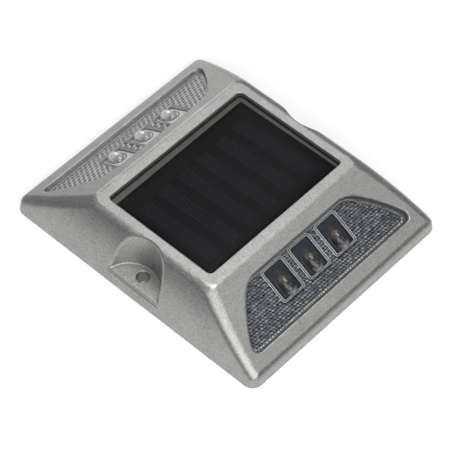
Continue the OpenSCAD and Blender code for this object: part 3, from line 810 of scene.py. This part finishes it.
def prism_metal(name, dark, mid, light, bright):
    """Faces of the corner cubes: each facet's painted glint, a painted highlight or shade, sets its colour
    from nearly black to bright.
    """
    m = Nodes(name)
    facet = m.add("ShaderNodeAttribute", attribute_name="painted_glint").outputs["Fac"]
    haze = m.noise(900, 3.0)
    level = m.math("ADD", facet, m.remap(haze, 0.3, 0.7, -0.10, 0.10))
    colour = m.ramp(level, [(0.0, dark), (0.35, mid), (0.7, light), (1.0, bright)])
    rough = m.remap(haze, 0.3, 0.7, 0.22, 0.38)
    return m.finish(m.principled(Base_Color=colour, Metallic=0.45, Roughness=rough))


# The two ends hold the same parts; their colours differ as painted light and shade: the front set below is
# painted dark and bluish, the rear set pale and silvery.
# level, out of the slope and in metres, at which the haze of a lens ends
HAZE_END = -0.0019
FRONT_CLEAR = clear("front_lens_clear", (0.03, 0.035, 0.045), 0.12, 0.01, 0.25, depth=HAZE_END)
REAR_CLEAR = clear("rear_lens_clear", (0.78, 0.80, 0.82), 0.10, 0.01, 0.2, depth=HAZE_END)
PANEL_CLEAR = clear("panel_clear", (0.01, 0.01, 0.012), 0.06, 0.06, 0.2, 0.2)
FRONT_PRISM = prism_metal("front_prisms", (0.014, 0.017, 0.021), (0.085, 0.100, 0.115), (0.24, 0.27, 0.29),
                          (0.55, 0.59, 0.61))
REAR_PRISM = prism_metal("rear_prisms", (0.05, 0.05, 0.05), (0.22, 0.22, 0.22), (0.50, 0.51, 0.51),
                         (0.72, 0.72, 0.72))
FRONT_WALL = plain("front_window_wall", (0.075, 0.082, 0.092), 0.3, 0.2, 0.3, 900)
REAR_WALL = plain("rear_window_wall", (0.11, 0.11, 0.11), 0.3, 0.2, 0.3, 900)
# pale bead lines round the LED windows: raised beads of the lens, coloured pale as painted highlights on
# their edges
FRONT_EDGE_HIGHLIGHT = plain("front_window_edge_highlight", (0.66, 0.67, 0.66), 0.2, 0.3, 0.3, 900)
REAR_EDGE_HIGHLIGHT = plain("rear_window_edge_highlight", (0.42, 0.43, 0.43), 0.2, 0.3, 0.2, 900)
FRONT_BORDER = prism_metal("front_border", (0.05, 0.05, 0.05), (0.22, 0.23, 0.23), (0.50, 0.51, 0.50),
                           (0.85, 0.86, 0.84))
REAR_BORDER = prism_metal("rear_border", (0.12, 0.12, 0.12), (0.34, 0.34, 0.33), (0.46, 0.46, 0.45),
                          (0.60, 0.60, 0.59))
FRONT_TRAY = plain("front_tray", (0.012, 0.016, 0.024), 0.30, 0.0, 0.3, 500, 0.05, spec=0.2)
REAR_TRAY = plain("rear_tray", (0.66, 0.67, 0.67), 0.30, 0.2, 0.12, 500, 0.05, coat=0.2)
# front LED: brownish root of the lead frame, dark body, and a pale tip that is a painted highlight on the
# dome
FRONT_LED = led_skin("front_led_epoxy", (0.46, 0.46, 0.43), (0.022, 0.020, 0.018), (0.15, 0.12, 0.075))
# rear LED: pale body that is a painted reflection, between darker root and tip that are painted shade round
# the dome
REAR_LED = led_skin("rear_led_epoxy", (0.30, 0.30, 0.30), (0.62, 0.62, 0.61), (0.20, 0.20, 0.19))
# near-black ring round each LED: a raised ring coloured as the painted shade that falls round the LED
SOCKET_SHADE = plain("led_socket_shade", (0.030, 0.031, 0.034), 0.35, 0.1, 0.3, 900, 0.05)
TIN = plain("tinned_lead", (0.62, 0.61, 0.58), 0.3, 0.9, 0.1, 900)
BLACK_SEAL = plain("black_sealant", (0.012, 0.012, 0.013), 0.45, 0.0, 0.3, 900, 0.25)
LENS_SEAL = plain("lens_sealant", (0.15, 0.15, 0.14), 0.5, 0.0, 0.3, 900, 0.25)
REAR_SEAL = plain("rear_sealant", (0.20, 0.20, 0.19), 0.5, 0.0, 0.3, 900, 0.25)
LAMINATE = plain("panel_laminate", (0.096, 0.092, 0.084), 0.45, 0.0, 0.25, 350, 0.1)
BLACK_PRINT = plain("black_print", (0.0070, 0.0068, 0.0078), 0.5, 0.0, 0.2, 500, 0.0, spec=0.06)
CELL = plain("silicon", (0.0075, 0.0070, 0.0092), 0.5, 0.0, 0.25, 300, 0.0, spec=0.06)
FINGER = plain("finger_print", (0.023, 0.023, 0.031), 0.6, 0.0, 0.3, 900, 0.0, spec=0.1)
GREEN_BOARD = plain("solder_mask_green", (0.02, 0.12, 0.045), 0.3, 0.0, 0.2, 500, 0.1)
# the front LED board blue and the rear one white: the same board, in painted shade and painted light
BLUE_BOARD = plain("solder_mask_blue", (0.02, 0.03, 0.06), 0.3, 0.0, 0.2, 500, 0.1)
WHITE_BOARD = plain("solder_mask_white", (0.70, 0.71, 0.71), 0.35, 0.0, 0.1, 500, 0.1)
CHIP = plain("chip_epoxy", (0.018, 0.018, 0.02), 0.55, 0.0, 0.3, 900, 0.3)
FERRITE = plain("ferrite", (0.06, 0.06, 0.06), 0.6, 0.0, 0.3, 700, 0.4)
SLEEVE_BLUE = plain("sleeve_blue", (0.02, 0.03, 0.11), 0.3, 0.0, 0.15, 300, 0.05, coat=0.3)
SLEEVE_GREEN = plain("sleeve_green", (0.03, 0.22, 0.08), 0.3, 0.0, 0.15, 300, 0.05, coat=0.3)
STEEL = plain("plated_steel", (0.62, 0.62, 0.62), 0.28, 1.0, 0.12, 900, 0.15)
BLACK_PLASTIC = plain("black_moulding", (0.02, 0.02, 0.022), 0.5, 0.0, 0.25, 800, 0.3)
GREY_PLASTIC = plain("grey_moulding", (0.16, 0.165, 0.165), 0.55, 0.0, 0.2, 700, 0.4, 0.0002)
RUBBER = plain("black_rubber", (0.02, 0.02, 0.021), 0.7, 0.0, 0.25, 800, 0.4)
WIRE_RED = plain("wire_red", (0.32, 0.02, 0.02), 0.4, 0.0, 0.12, 500, 0.1)
GOLD = plain("gold_flash", (0.75, 0.52, 0.20), 0.25, 1.0, 0.08, 900, 0.1)
RED_PLASTIC = plain("red_moulding", (0.42, 0.025, 0.018), 0.38, 0.0, 0.12, 700, 0.2, coat=0.2)

# ---------------------------------------------------------------- both lens ends
# pitch, depth, painted glint (painted highlight and shade) of the three facets of a cell and its spread,
# height of the relief
FRONT_FACETS = (1.35, 0.75, (0.22, 0.45, 0.72, 0.25), -2.95)
REAR_FACETS = (2.3, 0.4, (0.76, 0.62, 0.02, 0.08), -1.9)


def build_end(end, name, facets, glass, prism, border, wall, edge_highlight, tray, led, board, seal):
    """Everything in and under one lens."""
    pitch, depth, painted_glints, top = facets
    build_lens(end, name + "_lens", glass)
    build_reflector(end, name + "_reflector", prism, border, pitch, depth, painted_glints, top)
    build_windows(end, name, wall, edge_highlight, top)
    build_leds(end, name + "_leds", led, TIN)
    build_deck(end, name + "_led_tray", tray, SOCKET_SHADE, top - 1.0)
    softened(name + "_led_board", 0.12, board)
    build_seal(end, name + "_lens_seal", seal)
    softened(name + "_led_leads", 0.02, WIRE_RED, angle=80, segments=1)


# both ends are built from the same parts; the front set takes the painted-dark colours and the rear set the
# painted-light ones
build_end(1, "front", FRONT_FACETS, FRONT_CLEAR, FRONT_PRISM, FRONT_BORDER, FRONT_WALL, FRONT_EDGE_HIGHLIGHT,
          FRONT_TRAY, FRONT_LED, BLUE_BOARD, LENS_SEAL)
build_end(-1, "rear", REAR_FACETS, REAR_CLEAR, REAR_PRISM, REAR_BORDER, REAR_WALL, REAR_EDGE_HIGHLIGHT,
          REAR_TRAY, REAR_LED, WHITE_BOARD, REAR_SEAL)


# ---------------------------------------------------------------- solar panel
def build_panel():
    """Sheets of the panel, its seal, and six slightly skewed strings of cells with five finger lines."""
    # the sheets are stretched to leave a quarter of a millimetre all round the window
    fill = ((2 * WINDOW_X - 0.5) / SHEET_X, (2 * WINDOW_Y - 0.5) / SHEET_Y)
    softened("solar_cover", 0.12, PANEL_CLEAR, grow=(*fill, 1.001))
    softened("solar_backsheet", 0.04, BLACK_PRINT, segments=1)
    softened("solar_substrate", 0.12, LAMINATE, grow=(*fill, 1.0))
    seal = frame_ring(0, 0, (26.25, 36.4, 1.75), (26.08, 36.23, 1.6), 19.02, 21.5, 0.05)
    place(make("panel_seal_bead", *seal, smooth=False), BLACK_SEAL, "panel_seal")
    strips, fingers = [], []
    mid_x, mid_y, skew = 2.2, -1.5, math.radians(1.6)
    string_pitch, finger_pitch, half_pitch = 10.8, 1.2, 18.2
    low, high = 20.60, 20.90
    for i in range(6):
        oy = (i - 2.5) * string_pitch
        cx, cy = mid_x - oy * math.sin(skew), mid_y + oy * math.cos(skew)
        strips.append(rounded_prism(cx, cy, 19.0, 3.7, 0.15, low + 0.15, high - 0.02, 0.0, 2, skew))
        for k in range(5):
            fy = oy + (k - 2) * finger_pitch
            for part in range(2):
                fx = (part - 0.5) * half_pitch
                px = mid_x + fx * math.cos(skew) - fy * math.sin(skew)
                py = mid_y + fx * math.sin(skew) + fy * math.cos(skew)
                fingers.append(rounded_prism(px, py, 8.9, 0.11, 0.04, high - 0.03, high, 0.0, 1, skew))
    cells = make("solar_cell_strips", *joined(strips), smooth=False)
    place(cells, CELL, "solar_cells")
    lines = make("solar_cell_fingers", *joined(fingers), smooth=False)
    place(lines, FINGER, "solar_cells")


build_panel()

# ---------------------------------------------------------------- inside and underneath
for node, width, material in (
        ("main_board", 0.12, GREEN_BOARD), ("controller_chip", 0.12, CHIP),
        ("charge_inductor", 0.3, FERRITE), ("storage_capacitor", 0.3, SLEEVE_BLUE),
        ("board_screws", 0.12, STEEL), ("battery_cell", 0.4, SLEEVE_GREEN),
        ("battery_caps", 0.1, STEEL), ("battery_cradle", 0.3, BLACK_PLASTIC),
        ("solar_leads", 0.02, WIRE_RED), ("battery_leads", 0.02, WIRE_RED),
        ("base_plate", 0.18, GREY_PLASTIC), ("base_gasket", 0.1, RUBBER),
        ("base_screws", 0.12, STEEL), ("switch_body", 0.25, BLACK_PLASTIC),
        ("switch_contact", 0.05, GOLD), ("switch_seal", 0.02, RUBBER)):
    softened(node, width, material)
spring = softened("switch_spring", 0.01, STEEL, angle=80, segments=1)
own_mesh(spring)
softened("switch_button", 0.25, RED_PLASTIC, body="button", segments=3)

# ---------------------------------------------------------------- floor, light and camera
scene = bpy.context.scene
scene.view_settings.view_transform = "Standard"


def floor():
    """Pale paper with a painted pool of light: brightest under the marker and falling off towards the edges
    of the set.
    """
    v, f = rounded_prism(0, 0, 900, 900, 60, -2, 0, 0, 8)
    ob = make("studio_floor", v, f, smooth=False)
    m = Nodes("studio_floor")
    fine = m.noise(6, 3.0)
    away = m.add("ShaderNodeVectorMath", operation="LENGTH")
    m.put(away.inputs[0], m.coord)
    # painted pool of light: the paper's colour grows darker away from the marker
    painted_light_falloff = m.math("ADD", m.remap(away.outputs["Value"], 0.15, 0.30), m.remap(fine, 0, 1, -0.01, 0.01))
    grey = m.ramp(painted_light_falloff, [(p, (v, v, v)) for p, v in ((0.0, 0.95), (0.35, 0.60), (1.0, 0.40))])
    ob.data.materials.append(m.finish(m.principled(Base_Color=grey, Roughness=0.8)))


floor()


def area(name, place_at, size, power):
    """Soft lamp at a place in mm, pointed at the object."""
    lamp = bpy.data.lights.new(name, "AREA")
    lamp.shape = "RECTANGLE"
    lamp.size, lamp.size_y = size[0] * MM, size[1] * MM
    lamp.energy = power
    ob = bpy.data.objects.new(name, lamp)
    scene.collection.objects.link(ob)
    at = Vector(place_at) * MM
    ob.matrix_world = Matrix.Translation(at) @ (-at).to_track_quat("-Z", "Y").to_matrix().to_4x4()


def sky():
    """Studio surroundings: brightest overhead and behind to the left, dim at the level of the horizon."""
    world = bpy.data.worlds.new("studio")
    world.use_nodes = True
    nt = world.node_tree
    nt.nodes.clear()
    out = nt.nodes.new("ShaderNodeOutputWorld")
    bg = nt.nodes.new("ShaderNodeBackground")
    co = nt.nodes.new("ShaderNodeTexCoord")
    dot = nt.nodes.new("ShaderNodeVectorMath")
    dot.operation = "DOT_PRODUCT"
    dot.inputs[1].default_value = (-0.35, 0.35, 0.87)
    ramp = nt.nodes.new("ShaderNodeValToRGB")
    half = nt.nodes.new("ShaderNodeMath")
    half.operation = "MULTIPLY_ADD"
    half.inputs[1].default_value = 0.5
    half.inputs[2].default_value = 0.5
    nt.links.new(co.outputs["Generated"], dot.inputs[0])
    nt.links.new(dot.outputs["Value"], half.inputs[0])
    nt.links.new(half.outputs[0], ramp.inputs[0])
    stops = [(0.0, 0.18), (0.45, 0.20), (0.60, 0.48), (0.80, 0.85), (1.0, 1.0)]
    while len(ramp.color_ramp.elements) < len(stops):
        ramp.color_ramp.elements.new(0.5)
    for e, (p, v) in zip(ramp.color_ramp.elements, stops):
        e.position = p
        e.color = (v, v, v, 1)
    nt.links.new(ramp.outputs[0], bg.inputs[0])
    bg.inputs[1].default_value = 0.3
    nt.links.new(bg.outputs[0], out.inputs[0])
    scene.world = world


sky()
area("overhead", (0, 60, 1000), (520, 520), 4.9)
area("near_side", (440, -420, 480), (900, 620), 4.9)
area("behind", (-420, 450, 790), (400, 400), 0.85)
area("left", (-800, 450, 300), (300, 300), 0.95)
area("right", (520, 450, 750), (300, 300), 0.48)


def camera():
    """Camera whose direction, distance, offset and lens were solved from the body's corners."""
    distance, aside, above = 838.69, -1.31, -2.04
    az, el, roll = (math.radians(a) for a in (42.757, 51.923, 0.27))
    back = Vector((math.sin(az) * math.cos(el), -math.cos(az) * math.cos(el), math.sin(el)))
    right = Vector((math.cos(az), math.sin(az), 0))
    up = back.cross(right)
    across = math.cos(roll) * right + math.sin(roll) * up
    rise = -math.sin(roll) * right + math.cos(roll) * up
    at = (back * distance + across * aside + rise * above) * MM
    data = bpy.data.cameras.new("photo_camera")
    data.lens = 173.8
    data.sensor_width = 36.0
    data.shift_x, data.shift_y = 0.0063, -0.0050
    data.clip_start, data.clip_end = 0.01, 20
    cam = bpy.data.objects.new("photo_camera", data)
    scene.collection.objects.link(cam)
    m = Matrix((across, rise, back)).transposed().to_4x4()
    m.translation = at
    cam.matrix_world = m
    scene.camera = cam


camera()
